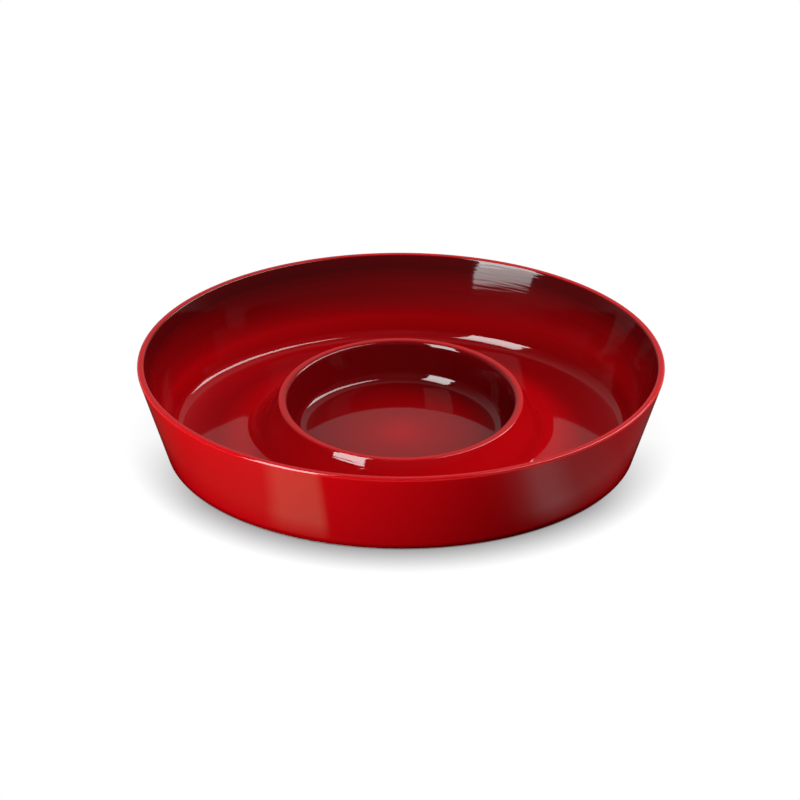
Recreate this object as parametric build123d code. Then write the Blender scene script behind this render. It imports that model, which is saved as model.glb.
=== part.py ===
from build123d import *
import os
from math import cos, radians, tan

os.makedirs("parts", exist_ok=True)

# Chip and dip server: an oval stoneware dish with a round dip bowl standing in its middle.
# The clay is one piece. A glassy glaze is fired on over it, all but the bare ring it stands on.
# Millimetres, +Z up, origin on the table under the middle of the dish. The long side runs along X.
# Sizes are those of the glazed surface, and the clay lies one coat of glaze below it.

# Dish wall, which leans outwards by the same amount all round
rim_length = 330.0
rim_width = 289.0
rim_height = 60.1
wall_lean = 16.6
lip_width = 4.6
lip_round = 1.7

# Floor of the dish and of the dip bowl, one flat slab
floor_level = 8.0
floor_thickness = 6.0
floor_fillet = 6.0

# Dip bowl: steep inside, and flared outside like a bell, down to the floor
dip_diameter = 154.0
dip_height = 33.2
dip_lip_width = 5.2
dip_outer_round = 1.8
dip_inner_round = 3.2
dip_lean = 9.0
dip_fillet = 6.0
flare_lean = 28.0
flare_fillet = 12.5

# Underside: a foot ring, the recess inside it, and the fold that keeps the dip bowl's wall even
foot_width = 7.5
foot_lean = 30.0
foot_round = 0.8
recess_fillet = 2.0
fold_wall = 6.0
fold_crown_round = 2.4
fold_inner_round = 8.0
fold_outer_round = 12.0
fold_round_share = 0.48

# Glaze: its thickness, and the bare band of clay between the foot's round and the glaze's lower edge
glaze = 0.5
bare_band = 0.1

# How far a cutting shape runs past the face that it opens
overrun = 5.0

# Levels and slopes that follow from the sizes
recess_level = floor_level - floor_thickness
glaze_edge = foot_round + bare_band
wall_slope = tan(radians(wall_lean))
foot_slope = tan(radians(foot_lean))
dip_slope = tan(radians(dip_lean))
flare_slope = tan(radians(flare_lean))

# The rounded lip is the widest place, so the outline of its sharp corner stands out past it
corner_reach = lip_round * (wall_slope + 1 / cos(radians(wall_lean)) - 1)
half_length = rim_length / 2 + corner_reach
half_width = rim_width / 2 + corner_reach


def wall_inset(level):
    """How far the outer wall lies inside the rim's outline at a level."""
    return (rim_height - level) * wall_slope


def recess_inset(level):
    """How far the side of the recess lies inside the rim's outline at a level."""
    return wall_inset(0) + foot_width + level * foot_slope


def dip_radius(level):
    """Radius of the dip bowl's inner wall at a level."""
    return dip_diameter / 2 - dip_lip_width - (dip_height - level) * dip_slope


def flare_radius(level):
    """Radius of the dip bowl's flared outer wall at a level."""
    return dip_diameter / 2 + (dip_height - level) * flare_slope


def oval_cone(low, high, inset_at):
    """Solid between two levels with an oval outline, drawn in evenly from the rim's outline."""
    sections = []
    for level in (low, high):
        inset = inset_at(level)
        outline = Ellipse(half_length - inset, half_width - inset)
        sections.append(Plane.XY.offset(level) * outline)
    return loft(sections, ruled=True)


def round_cone(low, high, radius_at):
    """Solid between two levels with a round outline."""
    standing = (Align.CENTER, Align.CENTER, Align.MIN)
    return Pos(0, 0, low) * Cone(radius_at(low), radius_at(high), high - low, align=standing)


def rings_at(solid, level):
    """Edges that lie flat at a level, the shortest first."""
    margin = 0.001
    flat = solid.edges().filter_by_position(Axis.Z, level - margin, level + margin)
    return flat.sort_by(SortBy.LENGTH)


def dish_form(coat):
    """Dish and dip bowl with a solid underside, their faces drawn in by a coat of glaze."""
    wall_shift = coat / cos(radians(wall_lean))
    dip_shift = coat / cos(radians(dip_lean))
    flare_shift = coat / cos(radians(flare_lean))
    rim = rim_height - coat
    floor = floor_level - coat
    dip_rim = dip_height - coat

    # Wall and floor of the oval dish
    outside = oval_cone(0, rim, lambda z: wall_inset(z) + wall_shift)
    hollow = oval_cone(floor, rim_height + overrun, lambda z: wall_inset(z) + lip_width - wall_shift)
    hollow = fillet(rings_at(hollow, floor), floor_fillet + coat)
    form = outside - hollow
    form = fillet(rings_at(form, rim), lip_round - coat)

    # Flared bell in the middle, then the dip sunk into it down to the same floor
    bell = round_cone(floor - floor_thickness / 2, dip_rim, lambda z: flare_radius(z) - flare_shift)
    form = form + bell
    form = fillet(rings_at(form, floor)[0], flare_fillet + coat)
    dip = round_cone(floor, dip_height + overrun, lambda z: dip_radius(z) + dip_shift)
    dip = fillet(rings_at(dip, floor), dip_fillet + coat)
    form = form - dip
    form = fillet(rings_at(form, dip_rim)[0], dip_inner_round - coat)
    return fillet(rings_at(form, dip_rim)[-1], dip_outer_round - coat)


def underside_hollow(coat):
    """Space under the dish inside the foot ring, grown by a coat of glaze."""
    foot_shift = coat / cos(radians(foot_lean))
    ceiling = recess_level + coat
    recess = oval_cone(-overrun, ceiling, lambda z: recess_inset(z) - foot_shift)
    recess = fillet(rings_at(recess, ceiling), recess_fillet + coat)

    # Fold under the dip bowl, whose sides run a wall away from the bowl's inner wall and its flare
    inner_foot = dip_radius(ceiling) + (fold_wall - coat) / cos(radians(dip_lean))
    outer_foot = flare_radius(ceiling) - (fold_wall - coat) / cos(radians(flare_lean))
    depth = (outer_foot - inner_foot) / (dip_slope + flare_slope)
    crown = (inner_foot + depth * dip_slope, ceiling + depth)

    # A round takes up no more than its share of the side that it ends on
    room = fold_round_share * depth
    inner_round = min(fold_inner_round - coat, room / tan(radians(45 - dip_lean / 2)))
    crown_round = min(fold_crown_round + coat, room * tan(radians(dip_lean + flare_lean) / 2))
    outer_round = min(fold_outer_round - coat, room / tan(radians(45 - flare_lean / 2)))
    edge = outer_foot + outer_round
    roof = FilletPolyline(
        (0, ceiling),
        (inner_foot, ceiling),
        crown,
        (outer_foot, ceiling),
        (edge, ceiling),
        radius=[inner_round, crown_round, outer_round],
    )
    sides = Polyline((edge, ceiling), (edge, -overrun), (0, -overrun), (0, ceiling))
    section = Plane.XZ * make_face(roof + sides)
    return recess + revolve(section, Axis.Z)


def above_glaze_edge(coat):
    """The stretch of a coat above the line where the foot is wiped bare."""
    return split(coat, bisect_by=Plane.XY.offset(glaze_edge), keep=Keep.TOP)


# Clay body, with both edges of the foot ring rounded
clay_form = dish_form(glaze)
clay_hollow = underside_hollow(glaze)
stoneware_body = clay_form - clay_hollow
stoneware_body = fillet(rings_at(stoneware_body, 0), foot_round)

# Glaze over the outside, the rim, the channel and the dip bowl
glaze_coat = above_glaze_edge(dish_form(0) - clay_form)

# Glaze on the underside, cut off from the rest by the bare foot ring
underside_glaze = above_glaze_edge(clay_hollow - underside_hollow(0))

for name, solid in (
    ("stoneware_body", stoneware_body),
    ("glaze_coat", glaze_coat),
    ("underside_glaze", underside_glaze),
):
    export_step(solid, f"parts/{name}.step")
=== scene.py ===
import math

import bpy
from mathutils import Matrix, Vector


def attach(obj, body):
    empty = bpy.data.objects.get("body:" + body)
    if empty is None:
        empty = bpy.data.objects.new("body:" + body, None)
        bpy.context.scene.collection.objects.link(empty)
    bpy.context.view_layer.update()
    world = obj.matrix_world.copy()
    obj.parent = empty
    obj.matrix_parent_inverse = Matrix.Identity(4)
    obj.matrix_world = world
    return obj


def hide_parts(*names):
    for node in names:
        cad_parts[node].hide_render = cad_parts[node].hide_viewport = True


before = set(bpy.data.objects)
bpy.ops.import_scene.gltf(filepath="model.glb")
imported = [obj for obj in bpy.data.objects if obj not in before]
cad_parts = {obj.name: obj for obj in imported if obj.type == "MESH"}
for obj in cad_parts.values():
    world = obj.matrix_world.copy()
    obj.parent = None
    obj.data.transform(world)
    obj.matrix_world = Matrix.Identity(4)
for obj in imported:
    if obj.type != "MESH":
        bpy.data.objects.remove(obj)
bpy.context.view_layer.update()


# Stoneware body
# Pale stoneware clay, pressed in a mould and fired. It shows only on the ring that the dish stands on,
# where the glaze is wiped off, so its own solid stays and gets the look of bare fired clay.
def add_node(tree, kind, inputs=None, **settings):
    """Adds a node to a tree, with its settings, and a value or a link for each named input."""
    node = tree.nodes.new(kind)
    for name, value in settings.items():
        setattr(node, name, value)
    for name, value in (inputs or {}).items():
        if isinstance(value, bpy.types.NodeSocket):
            tree.links.new(value, node.inputs[name])
        else:
            node.inputs[name].default_value = value
    return node


def empty_surface(name):
    """A node material with nothing in it yet, and its tree."""
    surface = bpy.data.materials.new(name)
    surface.use_nodes = True
    surface.node_tree.nodes.clear()
    return surface, surface.node_tree


def new_surface(name):
    """A node material with only its Principled surface and its output."""
    surface, tree = empty_surface(name)
    shader = add_node(tree, "ShaderNodeBsdfPrincipled")
    add_node(tree, "ShaderNodeOutputMaterial", {"Surface": shader.outputs["BSDF"]})
    return surface, tree, shader


def mix_colours(tree, factor, first, second):
    """Colour that goes from the first to the second with a factor."""
    # The Mix node's sockets for colours share their names with others, so they go by number
    inputs = {0: factor, 6: first, 7: second}
    return add_node(tree, "ShaderNodeMix", inputs, data_type="RGBA").outputs[2]


def kiln_mottle_group():
    """Cloudy unevenness and small specks, as the kiln leaves them in clay."""
    tree = bpy.data.node_groups.new("kiln_mottle", "ShaderNodeTree")
    for name in ("Cloud Scale", "Speck Scale", "Speck Size"):
        tree.interface.new_socket(name, in_out="INPUT", socket_type="NodeSocketFloat")
    for name in ("Cloud", "Specks"):
        tree.interface.new_socket(name, in_out="OUTPUT", socket_type="NodeSocketFloat")
    sizes = add_node(tree, "NodeGroupInput").outputs
    place = add_node(tree, "ShaderNodeTexCoord").outputs["Object"]
    cloud = add_node(tree, "ShaderNodeTexNoise", {
        "Vector": place, "Scale": sizes["Cloud Scale"], "Detail": 4.0, "Roughness": 0.55})
    specks = add_node(tree, "ShaderNodeTexVoronoi", {"Vector": place, "Scale": sizes["Speck Scale"]})
    dots = add_node(tree, "ShaderNodeMapRange", {
        "Value": specks.outputs["Distance"], "From Min": sizes["Speck Size"],
        "From Max": 0.0, "To Min": 0.0, "To Max": 1.0})
    add_node(tree, "NodeGroupOutput", {"Cloud": cloud.outputs["Fac"], "Specks": dots.outputs["Result"]})
    return tree


def dress(node, surface):
    """Gives a solid of the frame its look."""
    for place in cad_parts[node].material_slots:
        place.material = surface


clay_pale = (0.62, 0.52, 0.40, 1.0)
clay_toasted = (0.48, 0.37, 0.26, 1.0)
iron_brown = (0.16, 0.10, 0.06, 1.0)

bare_clay, tree, shader = new_surface("bare_clay")
mottle = add_node(tree, "ShaderNodeGroup", {
    "Cloud Scale": 45.0, "Speck Scale": 420.0, "Speck Size": 0.22}, node_tree=kiln_mottle_group())
toasted = mix_colours(tree, mottle.outputs["Cloud"], clay_pale, clay_toasted)
speckled = mix_colours(tree, mottle.outputs["Specks"], toasted, iron_brown)
tree.links.new(speckled, shader.inputs["Base Color"])
shader.inputs["Roughness"].default_value = 0.82
grit = add_node(tree, "ShaderNodeBump", {
    "Height": mottle.outputs["Cloud"], "Strength": 0.3, "Distance": 0.0004})
tree.links.new(grit.outputs["Normal"], shader.inputs["Normal"])
dress("stoneware_body", bare_clay)


# Glaze coat
# Coloured glass fired on over the outside, the lips, the channel and the dip bowl. It is one skin of
# even thickness, so its shape is one profile turned round the middle and eased from round to oval.
rim_length = 0.330
rim_width = 0.289
rim_height = 0.0601
wall_lean = math.radians(16.6)
lip_width = 0.0046
lip_round = 0.0017
upper_lean = math.radians(21.6)
lower_lean = math.radians(18.1)
bend_level = 0.047
bend_round = 0.3
# Height of a painted light low on the inner wall, where light gathers
painted_light_level = 0.022
floor_level = 0.008
floor_fillet = 0.0085
dip_diameter = 0.154
dip_height = 0.0332
dip_lip_width = 0.0052
dip_outer_round = 0.0018
dip_inner_round = 0.0032
dip_lean = math.radians(14.0)
dip_fillet = 0.008
flare_lean = math.radians(29.3)
flare_fillet = 0.0125
glaze = 0.0005
glaze_edge = 0.0009

# How far the glaze darkens from red, at 0, to maroon, at 1, along the profile: partly the glaze's own
# grading, partly painted light and shade
# Outer wall and lip: painted shade, most at the foot where the table shades the wall
foot_shade = 0.28
outer_lip_shade = 0.18
inner_lip_shades = (0.1, 0.3, 0.7, 1.0)
# Inner wall: maroon towards the rim from the glaze's grading, its steps partly painted shade
bend_shades = (0.86, 0.79, 0.72, 0.64)
# A lighter band low on the inner wall: painted light, where light gathers there
painted_light_shade = 0.22
wall_end_shade = 0.3
# Channel floor: painted shade, darker in its middle
channel_shade = 0.38
# Foot of the dip bowl's outside: painted light, to make it brighter
flare_foot_shade = 0.17
bowl_lip_shade = 0.0
mouth_shades = (0.2, 0.45, 0.6, 0.65)
bowl_end_shade = 0.64
# Floor of the dip: lighter towards the middle, partly the glaze's grading and partly painted light
dip_floor_shade = 0.42
dip_centre_shade = 0.22

# Steps in a fillet and in each part of a graded round, steps around, and length of a straight step.
# The side towards the clay isn't seen, so its rounds have only a share of the steps.
fillet_steps = 12
graded_steps = 3
clay_side_share = 4
steps_around = 360
straight_step = 0.004

# Places on the profile that follow from the sizes
half_length = rim_length / 2 + lip_round * (math.tan(wall_lean) + 1 / math.cos(wall_lean) - 1)
dip_rise = dip_height - floor_level
wall_foot = half_length - (rim_height - glaze_edge) * math.tan(wall_lean)
wall_bend = half_length - lip_width - (rim_height - bend_level) * math.tan(upper_lean)
wall_heel = wall_bend - (bend_level - floor_level) * math.tan(lower_lean)
painted_light_spot = wall_heel + (painted_light_level - floor_level) * math.tan(lower_lean)
flare_foot = dip_diameter / 2 + dip_rise * math.tan(flare_lean)
dip_mouth = dip_diameter / 2 - dip_lip_width
dip_heel = dip_mouth - dip_rise * math.tan(dip_lean)
outer_edge = (half_length, rim_height)
inner_edge = (half_length - lip_width, rim_height)
inner_bend = (wall_bend, bend_level)
wall_end = (wall_heel, floor_level)
bowl_edge = (dip_diameter / 2, dip_height)
bowl_mouth = (dip_mouth, dip_height)
bowl_end = (dip_heel, floor_level)


def graded_round(before, corner, after, size, shades):
    """A round made of several corners in a row, so that the shade can change along it."""
    here = Vector(corner)
    way = (here - Vector(before)).normalized()
    leaving = (Vector(after) - here).normalized()
    turn = math.atan2(way.cross(leaving), way.dot(leaving))
    spot = here - way * size * math.tan(abs(turn) / 2)
    step = turn / len(shades)
    half_side = size * math.tan(abs(step) / 2)
    corners = []
    for shade in shades:
        spot = spot + way * half_side
        corners.append((spot.x, spot.y, size, shade, graded_steps))
        way = Matrix.Rotation(step, 2) @ way
        spot = spot + way * half_side
    return corners


# Corners before rounding, from the lower edge over the rim to the middle of the dip: distance from the
# middle, height, radius of the round, shade, and steps in the round
glaze_corners = [
    (wall_foot, glaze_edge, 0.0, foot_shade, 1),
    (*outer_edge, lip_round, outer_lip_shade, fillet_steps),
    *graded_round(outer_edge, inner_edge, inner_bend, lip_round, inner_lip_shades),
    *graded_round(inner_edge, inner_bend, wall_end, bend_round, bend_shades),
    # Painted light low on the inner wall
    (painted_light_spot, painted_light_level, 0.0, painted_light_shade, 1),
    (*wall_end, floor_fillet, wall_end_shade, fillet_steps),
    ((wall_heel + flare_foot) / 2, floor_level, 0.0, channel_shade, 1),
    (flare_foot, floor_level, flare_fillet, flare_foot_shade, fillet_steps),
    (*bowl_edge, dip_outer_round, bowl_lip_shade, fillet_steps),
    *graded_round(bowl_edge, bowl_mouth, bowl_end, dip_inner_round, mouth_shades),
    (*bowl_end, dip_fillet, bowl_end_shade, fillet_steps),
    (dip_heel / 2, floor_level, 0.0, dip_floor_shade, 1),
    (0.0, floor_level, 0.0, dip_centre_shade, 1),
]


def inner_face(corners, depth):
    """The same corners one coat further in, on the clay, with their rounds to match."""
    inner = []
    for number, (radius, height, round_size, shade, steps) in enumerate(corners):
        here = Vector((radius, height))
        before = Vector(corners[max(number - 1, 0)][:2])
        after = Vector(corners[min(number + 1, len(corners) - 1)][:2])
        arriving = (here - before).normalized() if number > 0 else (after - here).normalized()
        leaving = (after - here).normalized() if number < len(corners) - 1 else arriving
        sides = [Vector((-way.y, way.x)) for way in (arriving, leaving)]
        spot = here + depth * (sides[0] + sides[1]) / (1 + sides[0].dot(sides[1]))
        turn = arriving.cross(leaving)
        grown = round_size - math.copysign(depth, turn) if round_size else 0.0
        inner.append((spot.x, spot.y, grown, shade, 1 + steps // clay_side_share))

    # The lower edge is cut level, so the first corner goes along the wall to the outer face's height
    first = inner[0]
    slope = (inner[1][0] - first[0]) / (inner[1][1] - first[1])
    inner[0] = (first[0] + (corners[0][1] - first[1]) * slope, corners[0][1], *first[2:])
    return inner


def maths(tree, operation, first, second=0.0):
    """Result of a Math node."""
    return add_node(tree, "ShaderNodeMath", {0: first, 1: second}, operation=operation).outputs[0]


def turned_oval_tree():
    """Rounds a profile's corners, turns it about the upright axis and eases it out to an oval."""
    tree = bpy.data.node_groups.new("turned_oval", "GeometryNodeTree")
    for name, kind in (
        ("Profile", "NodeSocketGeometry"),
        ("Straight Step", "NodeSocketFloat"),
        ("Steps Around", "NodeSocketInt"),
        ("Oval Trim", "NodeSocketFloat"),
        ("Round Within", "NodeSocketFloat"),
        ("Oval Beyond", "NodeSocketFloat"),
        ("Glaze", "NodeSocketMaterial"),
    ):
        tree.interface.new_socket(name, in_out="INPUT", socket_type=kind)
    tree.interface.new_socket("Shell", in_out="OUTPUT", socket_type="NodeSocketGeometry")
    sizes = add_node(tree, "NodeGroupInput").outputs
    seam_gap = 1e-6

    def whole_maths(operation, first, second):
        inputs = {0: first, 1: second}
        return add_node(tree, "FunctionNodeIntegerMath", inputs, operation=operation).outputs[0]

    def attribute(name):
        return add_node(tree, "GeometryNodeInputNamedAttribute", {"Name": name}).outputs["Attribute"]

    # Profile: corners rounded, then the straights between them cut into short steps
    line = add_node(tree, "GeometryNodeMeshToCurve", {"Mesh": sizes["Profile"]}).outputs["Curve"]
    rounded = add_node(tree, "GeometryNodeFilletCurve", {
        "Curve": line, "Count": attribute("steps"), "Radius": attribute("round"),
        "Limit Radius": True}, mode="POLY").outputs["Curve"]
    along = add_node(tree, "GeometryNodeSplineParameter").outputs["Length"]
    index = add_node(tree, "GeometryNodeInputIndex").outputs["Index"]
    next_along = add_node(tree, "GeometryNodeFieldAtIndex", {
        "Value": along, "Index": whole_maths("ADD", index, 1)}).outputs["Value"]
    run = maths(tree, "SUBTRACT", next_along, along)
    whole_steps = maths(tree, "FLOOR", maths(tree, "DIVIDE", run, sizes["Straight Step"]))
    cuts = maths(tree, "MAXIMUM", whole_steps, 0.0)
    stepped = add_node(tree, "GeometryNodeSubdivideCurve", {"Curve": rounded, "Cuts": cuts}).outputs["Curve"]

    # Grid with one row for each point of the profile and one column for each step around
    points = add_node(tree, "GeometryNodeAttributeDomainSize", {"Geometry": stepped}, component="CURVE")
    columns = whole_maths("ADD", sizes["Steps Around"], 1)
    grid = add_node(tree, "GeometryNodeMeshGrid", {
        "Vertices X": points.outputs["Point Count"], "Vertices Y": columns}).outputs["Mesh"]
    row = whole_maths("DIVIDE_FLOOR", index, columns)
    column = whole_maths("MODULO", index, columns)
    position = add_node(tree, "GeometryNodeInputPosition").outputs["Position"]
    spot = add_node(tree, "GeometryNodeSampleIndex", {
        "Geometry": stepped, "Value": position, "Index": row}, data_type="FLOAT_VECTOR").outputs["Value"]
    spot = add_node(tree, "ShaderNodeSeparateXYZ", {"Vector": spot}).outputs
    shade = add_node(tree, "GeometryNodeSampleIndex", {
        "Geometry": stepped, "Value": attribute("shade"), "Index": row}).outputs["Value"]

    # Each row goes round as an ellipse: a circle within the flare's foot, and the full oval past the floor
    turn = maths(tree, "MULTIPLY", maths(tree, "DIVIDE", column, sizes["Steps Around"]), math.tau)
    eased = add_node(tree, "ShaderNodeMapRange", {
        "Value": spot["X"], "From Min": sizes["Round Within"], "From Max": sizes["Oval Beyond"]})
    trim = maths(tree, "MULTIPLY", eased.outputs["Result"], sizes["Oval Trim"])
    across = maths(tree, "SUBTRACT", spot["X"], trim)
    turned = add_node(tree, "ShaderNodeCombineXYZ", {
        "X": maths(tree, "MULTIPLY", spot["X"], maths(tree, "COSINE", turn)),
        "Y": maths(tree, "MULTIPLY", across, maths(tree, "SINE", turn)),
        "Z": spot["Z"]}).outputs["Vector"]

    # Mesh: the shade kept on it, its seam and poles closed, and its surface set
    shaded = add_node(tree, "GeometryNodeStoreNamedAttribute", {
        "Geometry": grid, "Name": "shade", "Value": shade}).outputs["Geometry"]
    shell = add_node(tree, "GeometryNodeSetPosition", {"Geometry": shaded, "Position": turned}).outputs[0]
    closed = add_node(tree, "GeometryNodeMergeByDistance", {
        "Geometry": shell, "Distance": seam_gap}).outputs[0]
    smooth = add_node(tree, "GeometryNodeSetShadeSmooth", {"Geometry": closed}).outputs[0]
    real = add_node(tree, "GeometryNodeRealizeInstances", {"Geometry": smooth}).outputs[0]
    done = add_node(tree, "GeometryNodeSetMaterial", {
        "Geometry": real, "Material": sizes["Glaze"]}).outputs[0]
    add_node(tree, "NodeGroupOutput", {"Shell": done})
    return tree


turned_oval = turned_oval_tree()


def put_in_scene(name, data):
    """Object of that name, made of a mesh, a lamp or a camera, and linked to the scene."""
    thing = bpy.data.objects.new(name, data)
    bpy.context.scene.collection.objects.link(thing)
    return thing


def turned_piece(name, corners, surface):
    """Plain mesh object turned from a profile that runs from the axis out and back to the axis."""
    mesh = bpy.data.meshes.new(name + "_profile")
    spots = [(corner[0], 0.0, corner[1]) for corner in corners]
    lines = [(number, number + 1) for number in range(len(corners) - 1)]
    mesh.from_pydata(spots, lines, [])
    for key, part in (("round", 2), ("shade", 3), ("steps", 4)):
        values = mesh.attributes.new(key, "FLOAT", "POINT").data
        values.foreach_set("value", [corner[part] for corner in corners])
    piece = put_in_scene(name, mesh)
    turning = piece.modifiers.new("turning", "NODES")
    turning.node_group = turned_oval
    values = {
        "Straight Step": straight_step,
        "Steps Around": steps_around,
        "Oval Trim": (rim_length - rim_width) / 2,
        "Round Within": flare_foot + flare_fillet * math.tan(math.pi / 4 - flare_lean / 2),
        "Oval Beyond": wall_heel - floor_fillet * math.tan(math.pi / 4 - lower_lean / 2),
        "Glaze": surface,
    }
    for socket in turned_oval.interface.items_tree:
        if socket.in_out == "INPUT" and socket.name in values:
            turning[socket.identifier] = values[socket.name]
    bpy.context.view_layer.update()
    graph = bpy.context.evaluated_depsgraph_get()
    baked = bpy.data.meshes.new_from_object(piece.evaluated_get(graph))
    piece.modifiers.remove(turning)
    piece.data = baked
    baked.name = name
    bpy.data.meshes.remove(mesh)
    return piece


glaze_red = (0.55, 0.001, 0.004, 1.0)
glaze_deep = (0.30, 0.001, 0.003, 1.0)
glaze_maroon = (0.06, 0.001, 0.0015, 1.0)
red_until = 0.1
deep_at = 0.35
maroon_from = 0.85
ripple_stretch = (1.0, 1.0, 14.0)

red_glaze, tree, shader = new_surface("red_glaze")
shade = add_node(tree, "ShaderNodeAttribute", attribute_name="shade").outputs["Fac"]
ramp = add_node(tree, "ShaderNodeValToRGB", {"Fac": shade})
stops = ramp.color_ramp.elements
stops[0].color = glaze_red
stops[0].position = red_until
stops[1].color = glaze_maroon
stops[1].position = maroon_from
stops.new(deep_at).color = glaze_deep
tree.links.new(ramp.outputs["Color"], shader.inputs["Base Color"])
shader.inputs["Roughness"].default_value = 0.05
shader.inputs["IOR"].default_value = 1.5

# Faint level ripples, as melted glaze leaves them when it sets
place = add_node(tree, "ShaderNodeTexCoord").outputs["Object"]
stretched = add_node(tree, "ShaderNodeMapping", {"Vector": place, "Scale": ripple_stretch})
ripple = add_node(tree, "ShaderNodeTexNoise", {
    "Vector": stretched.outputs["Vector"], "Scale": 40.0, "Detail": 1.5})
bump = add_node(tree, "ShaderNodeBump", {
    "Height": ripple.outputs["Fac"], "Strength": 0.10, "Distance": 0.0004})
tree.links.new(bump.outputs["Normal"], shader.inputs["Normal"])

clay_side = inner_face(glaze_corners, glaze)
glaze_coat = turned_piece("glaze_skin", clay_side[::-1] + glaze_corners, red_glaze)
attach(glaze_coat, "root")
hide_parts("glaze_coat")


# Underside glaze
# The same red glass inside the foot ring, cut off from the rest where the ring is wiped bare. It is
# fired on with the rest, and its own solid stays and gets the same look.
dress("underside_glaze", red_glaze)


# Floor
# Plain white studio table, wide enough to fill the view from any side. The camera and the glaze see it
# white, it throws little light back, and a painted shadow darkens it near the dish, mostly in front.
floor_reach = 8.0
floor_drop = -0.0002
foot_half_length = 0.147
foot_half_width = 0.127
seen_white = (0.9, 0.9, 0.9, 1.0)
thrown_grey = (0.12, 0.12, 0.12, 1.0)
full_white = (1.0, 1.0, 1.0, 1.0)
shadow_reach = 0.025

mesh = bpy.data.meshes.new("floor")
outline = ((-1, -1), (1, -1), (1, 1), (-1, 1))
mesh.from_pydata([(x * floor_reach, y * floor_reach, floor_drop) for x, y in outline], [], [(0, 1, 2, 3)])
floor = put_in_scene("floor", mesh)

paper, tree = empty_surface("white_paper")
ray = add_node(tree, "ShaderNodeLightPath").outputs
seen = maths(tree, "MAXIMUM", ray["Is Camera Ray"], ray["Is Glossy Ray"])
seen = maths(tree, "MAXIMUM", seen, ray["Is Transmission Ray"])
tint = mix_colours(tree, seen, thrown_grey, seen_white)
lit = add_node(tree, "ShaderNodeBsdfDiffuse", {"Color": tint})

# Distance from the middle in lengths of the foot, and the painted shadow's strength by direction: occlusion
# darkens the glow near the dish, most in front
place = add_node(tree, "ShaderNodeTexCoord").outputs["Object"]
spot = add_node(tree, "ShaderNodeMapping", {
    "Vector": place, "Scale": (1 / foot_half_length, 1 / foot_half_width, 0.0)}).outputs["Vector"]
way = add_node(tree, "ShaderNodeVectorMath", {0: spot}, operation="NORMALIZE").outputs["Vector"]
side = add_node(tree, "ShaderNodeSeparateXYZ", {"Vector": way}).outputs["Y"]
ahead = add_node(tree, "ShaderNodeMapRange", {
    "Value": side, "From Min": 0.05, "From Max": -0.6, "To Min": 0.08, "To Max": 1.0})
near = add_node(tree, "ShaderNodeAmbientOcclusion", {"Distance": shadow_reach}, samples=16)
shaded = mix_colours(tree, ahead.outputs["Result"], full_white, near.outputs["Color"])
white = add_node(tree, "ShaderNodeEmission", {"Color": shaded})
away = add_node(tree, "ShaderNodeVectorMath", {0: spot}, operation="LENGTH").outputs["Value"]
clear = add_node(tree, "ShaderNodeMapRange", {
    "Value": away, "From Min": 1.0, "From Max": 1.2, "To Min": 0.93, "To Max": 1.0})
share = maths(tree, "MULTIPLY", clear.outputs["Result"], seen)
blend = add_node(tree, "ShaderNodeMixShader", {0: share, 1: lit.outputs[0], 2: white.outputs[0]})
add_node(tree, "ShaderNodeOutputMaterial", {"Surface": blend.outputs[0]})
mesh.materials.append(paper)


# Cards
# Ring of glowing cards round the dish, which paint the reflections in its outer wall: a bright one at the
# left, a grey one at the right, and dark ones between them. Only reflections see them.
ring_steps = 120
ring_level = 0.0004
ring_inner = (0.142, 0.121)
ring_outer = (0.45, 0.43)
base_half_length = 0.1485
base_half_width = 0.1275
card_slant = 0.005
left_blue = 0.65
dark_card = 0.03

# Edges of the cards: degrees from the camera's side, right positive, and brightness
card_edges = (
    (-70, dark_card),
    (-50, 0.08),
    (-40.5, 0.12),
    (-35.5, 0.66),
    (-23.5, 0.7),
    (-21, 0.01),
    (24, 0.0),
    (31, dark_card),
    (36, 0.13),
    (42, 0.45),
    (46, 0.45),
    (54, 0.17),
    (75, 0.05),
)


def for_reflections_only(thing):
    """Hides a stage piece from everything but mirrored rays."""
    thing.visible_camera = False
    thing.visible_diffuse = False
    thing.visible_shadow = False
    thing.visible_transmission = False


ring = []
for step in range(ring_steps):
    turn = math.tau * step / ring_steps
    for half_size, half_depth in (ring_inner, ring_outer):
        ring.append((half_size * math.cos(turn), half_depth * math.sin(turn), ring_level))
count = len(ring)
mesh = bpy.data.meshes.new("cards")
mesh.from_pydata(ring, [], [(i, i + 1, (i + 3) % count, (i + 2) % count) for i in range(0, count, 2)])
cards = put_in_scene("cards", mesh)

board, tree = empty_surface("cards")
place = add_node(tree, "ShaderNodeTexCoord").outputs["Object"]
facing = add_node(tree, "ShaderNodeMapping", {
    "Vector": place, "Rotation": (0.0, 0.0, math.pi / 2)}).outputs["Vector"]
around = add_node(tree, "ShaderNodeTexGradient", {"Vector": facing}, gradient_type="RADIAL").outputs["Fac"]
spot = add_node(tree, "ShaderNodeMapping", {
    "Vector": place, "Scale": (1 / base_half_length, 1 / base_half_width, 0.0)}).outputs["Vector"]
away = add_node(tree, "ShaderNodeVectorMath", {0: spot}, operation="LENGTH").outputs["Value"]
slant = add_node(tree, "ShaderNodeMapRange", {
    "Value": away, "From Min": 1.03, "From Max": 1.32, "To Min": -card_slant, "To Max": card_slant})
slanted = maths(tree, "ADD", around, slant.outputs["Result"])
tones = add_node(tree, "ShaderNodeValToRGB", {"Fac": slanted})
stops = tones.color_ramp.elements
for stop in stops:
    stop.color = (dark_card, dark_card, dark_card, 1.0)
for azimuth, level in card_edges:
    blue = left_blue if azimuth < 0 else 1.0
    stops.new(azimuth / 360 + 0.5).color = (level, level, level * blue, 1.0)
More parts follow.
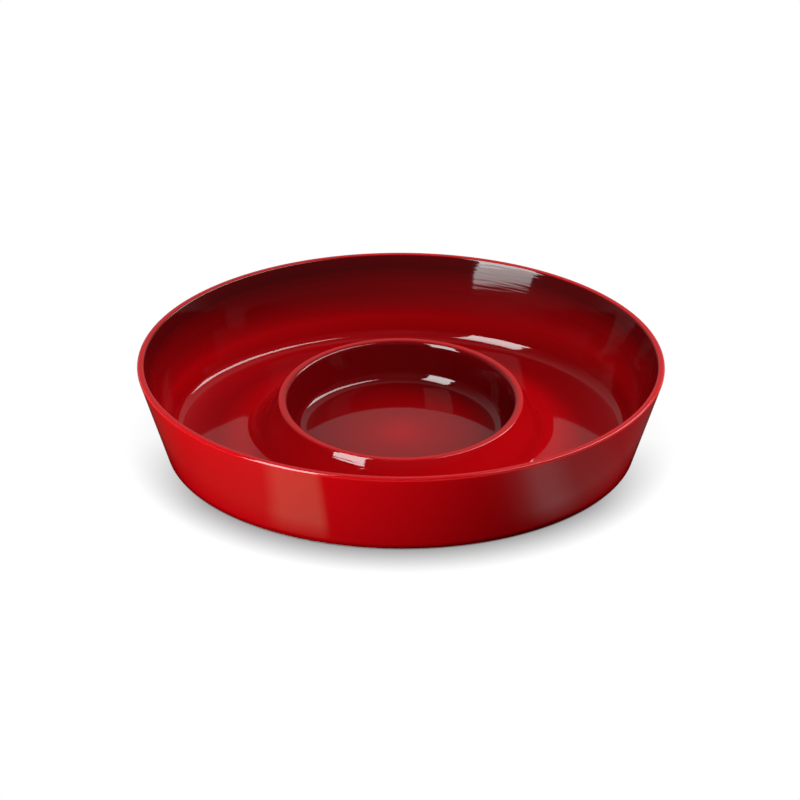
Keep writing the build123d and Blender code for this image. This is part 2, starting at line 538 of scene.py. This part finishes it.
# Painted shadow in the reflection: the cards fade to dark close to the dish's foot
reflected_shadow_fade = add_node(tree, "ShaderNodeMapRange", {"Value": away, "From Min": 1.01, "From Max": 1.10})
glow = add_node(tree, "ShaderNodeEmission", {
    "Color": tones.outputs["Color"], "Strength": reflected_shadow_fade.outputs["Result"]})
add_node(tree, "ShaderNodeOutputMaterial", {"Surface": glow.outputs[0]})
mesh.materials.append(board)
for_reflections_only(cards)


# Light strips
# Two long softboxes that the glaze mirrors: a wide one at the front left, and a narrow one that leans
# over at the right. Each is a glowing card, weaker where the glaze mirrors it a second time.
lamp_distance = 1.6


def way_to(azimuth, elevation):
    """Direction from the dish. Azimuth 0 is the camera's side, and right is positive."""
    turn = math.radians(azimuth)
    rise = math.radians(elevation)
    return Vector((math.sin(turn) * math.cos(rise), -math.cos(turn) * math.cos(rise), math.sin(rise)))


def light_strip(name, radiance, echo, rows):
    """Glowing card for reflections only. A row has its elevation, both ends and a share of the radiance."""
    corners = []
    shares = []
    for elevation, left, right, share in rows:
        corners += [way_to(left, elevation) * lamp_distance, way_to(right, elevation) * lamp_distance]
        shares += [share, share]
    mesh = bpy.data.meshes.new(name)
    mesh.from_pydata(corners, [], [(i, i + 1, i + 3, i + 2) for i in range(0, len(corners) - 2, 2)])
    mesh.attributes.new("share", "FLOAT", "POINT").data.foreach_set("value", shares)
    glowing, tree = empty_surface(name)
    share = add_node(tree, "ShaderNodeAttribute", attribute_name="share").outputs["Color"]
    depth = add_node(tree, "ShaderNodeLightPath").outputs["Ray Depth"]
    strength = add_node(tree, "ShaderNodeMapRange", {
        "Value": depth, "From Min": 1.0, "From Max": 2.0, "To Min": radiance, "To Max": radiance * echo})
    glow = add_node(tree, "ShaderNodeEmission", {"Color": share, "Strength": strength.outputs["Result"]})
    add_node(tree, "ShaderNodeOutputMaterial", {"Surface": glow.outputs[0]})
    mesh.materials.append(glowing)
    strip = put_in_scene(name, mesh)
    for_reflections_only(strip)


left_rows = (
    (10.5, -53, -29, 0.0),
    (12.5, -54, -29, 0.25),
    (15, -55, -29, 0.3),
    (17.3, -59, -30, 0.36),
    (18.3, -61, -31, 0.6),
    (36, -60, -32, 0.6),
    (50, -69, -34, 0.58),
    (66, -92, -36, 0.45),
)
right_rows = (
    (23, 110, 128, 1.0),
    (45, 86, 110, 1.0),
    (66, 38, 80, 1.0),
)
light_strip("left_strip", radiance=20.0, echo=0.15, rows=left_rows)
light_strip("right_strip", radiance=8.0, echo=0.06, rows=right_rows)


# Studio light
# Broad lamps low at both sides, overhead, behind and at the front. They light the glaze and aren't
# mirrored. The room glows a little, more behind the dish than in front of it.
def broad_lamp(name, azimuth, elevation, width, height, radiance):
    """Rectangular lamp that faces the dish, and that the glaze doesn't mirror."""
    lamp = bpy.data.lights.new(name, "AREA")
    lamp.shape = "RECTANGLE"
    lamp.size = width
    lamp.size_y = height
    lamp.energy = radiance * math.pi * width * height
    box = put_in_scene(name, lamp)
    way = way_to(azimuth, elevation)
    box.location = way * lamp_distance
    box.rotation_euler = way.to_track_quat("Z", "Y").to_euler()
    box.visible_camera = False
    box.visible_glossy = False


broad_lamp("low_left_light", azimuth=-58, elevation=6, width=1.0, height=0.25, radiance=41.0)
broad_lamp("low_right_light", azimuth=115, elevation=6, width=1.0, height=0.25, radiance=30.0)
broad_lamp("overhead_light", azimuth=0, elevation=85, width=1.4, height=1.4, radiance=0.6)
broad_lamp("back_right_light", azimuth=130, elevation=48, width=0.8, height=0.8, radiance=4.8)
broad_lamp("right_light", azimuth=90, elevation=42, width=0.8, height=0.8, radiance=3.0)
broad_lamp("front_light", azimuth=0, elevation=45, width=0.7, height=0.7, radiance=6.8)

room_front = 0.06
room_back = 0.45
world = bpy.data.worlds.new("studio")
world.use_nodes = True
tree = world.node_tree
tree.nodes.clear()
way = add_node(tree, "ShaderNodeTexCoord").outputs["Generated"]
depth = add_node(tree, "ShaderNodeSeparateXYZ", {"Vector": way}).outputs["Y"]
level = add_node(tree, "ShaderNodeMapRange", {
    "Value": depth, "From Min": -0.1, "From Max": 0.7, "To Min": room_front, "To Max": room_back})
light = add_node(tree, "ShaderNodeBackground", {"Strength": level.outputs["Result"]})
add_node(tree, "ShaderNodeOutputWorld", {"Surface": light.outputs["Background"]})
bpy.context.scene.world = world


# Camera
# Long lens at the photograph's angle, fitted to the rims, the base and the wall outlines. Its distance
# and shifts are in half lengths of the rim.
half_rim = rim_length / 2
camera_rise = 0.5240
camera_roll = 0.003
stand_off = 15.172 * half_rim
right_shift = 0.0036 * half_rim
up_shift = 0.1451 * half_rim
aim_level = 0.0588
forward = Vector((0.0, math.cos(camera_rise), -math.sin(camera_rise)))
level_right = Vector((1.0, 0.0, 0.0))
level_up = level_right.cross(forward)
right = math.cos(camera_roll) * level_right + math.sin(camera_roll) * level_up
up = math.cos(camera_roll) * level_up - math.sin(camera_roll) * level_right
eye = -forward * stand_off - right_shift * right - up_shift * up + Vector((0.0, 0.0, aim_level))
lens = bpy.data.cameras.new("camera")
lens.lens = 180.0
lens.sensor_width = 36.0
camera = put_in_scene("camera", lens)
camera.matrix_world = Matrix.Translation(eye) @ Matrix((right, up, -forward)).transposed().to_4x4()
bpy.context.scene.camera = camera
bpy.context.scene.view_settings.view_transform = "Standard"
